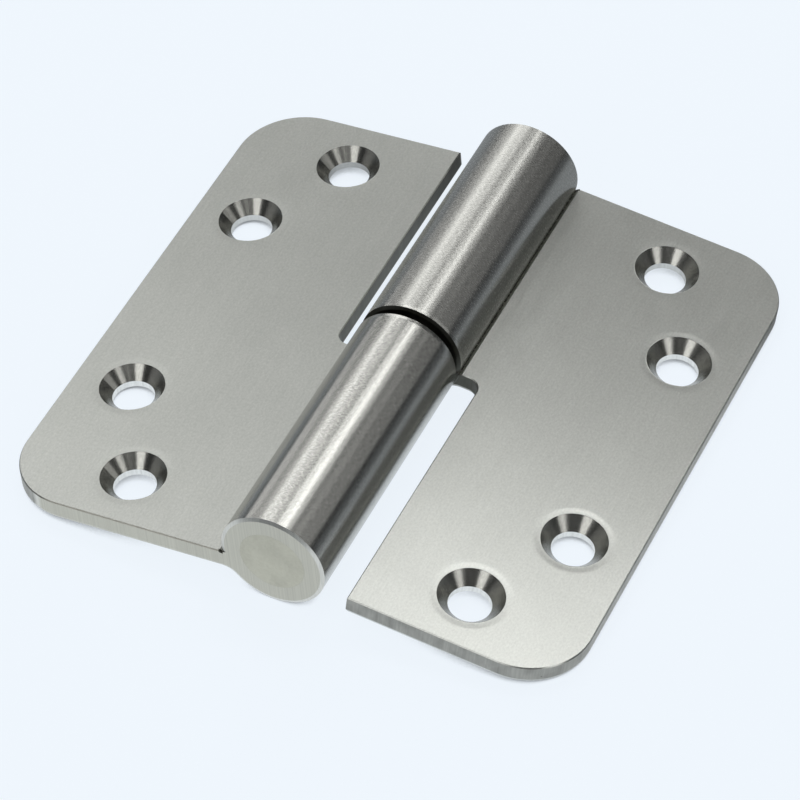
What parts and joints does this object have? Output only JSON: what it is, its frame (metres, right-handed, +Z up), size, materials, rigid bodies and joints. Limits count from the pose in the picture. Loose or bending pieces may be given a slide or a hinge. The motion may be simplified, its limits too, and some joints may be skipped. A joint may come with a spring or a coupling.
{
  "type": "lift-off hinge with a ball-tipped pin",
  "caption": "Steel lift-off door hinge: two rolled leaves with rounded corners and countersunk holes, turning on a pin whose ball tip carries the door.",
  "frame": {"origin": "on the surface that the open hinge lies on, under the middle of the barrel", "axes": "+Y along the pin from the frame leaf's knuckle to the door leaf's, which is the way the door lifts off; +X towards the door leaf; +Z up, on the screw faces' side"},
  "size_m": [0.0884, 0.089, 0.016],
  "materials": {
    "leaf_steel": "satin, brushed along the pin axis",
    "pin_steel": "turned, with ground ends",
    "ball_steel": "polished"
  },
  "bodies": {
    "frame_side": {"frame_leaf": "leaf_steel", "hinge_pin": "pin_steel"},
    "ball": {"thrust_ball": "ball_steel"},
    "door_side": {"door_leaf": "leaf_steel", "end_plug": "pin_steel"}
  },
  "joints": [
    {"name": "leaf_swing", "type": "hinge", "parent": "frame_side", "child": "ball", "pos_m": [0, 0, 0.008], "axis": [0, -1, 0], "range_deg": [-130, 190.4]},
    {"name": "lift_off", "type": "slide", "parent": "ball", "child": "door_side", "axis": [0, 1, 0], "range_m": [0, 0.04]}
  ]
}
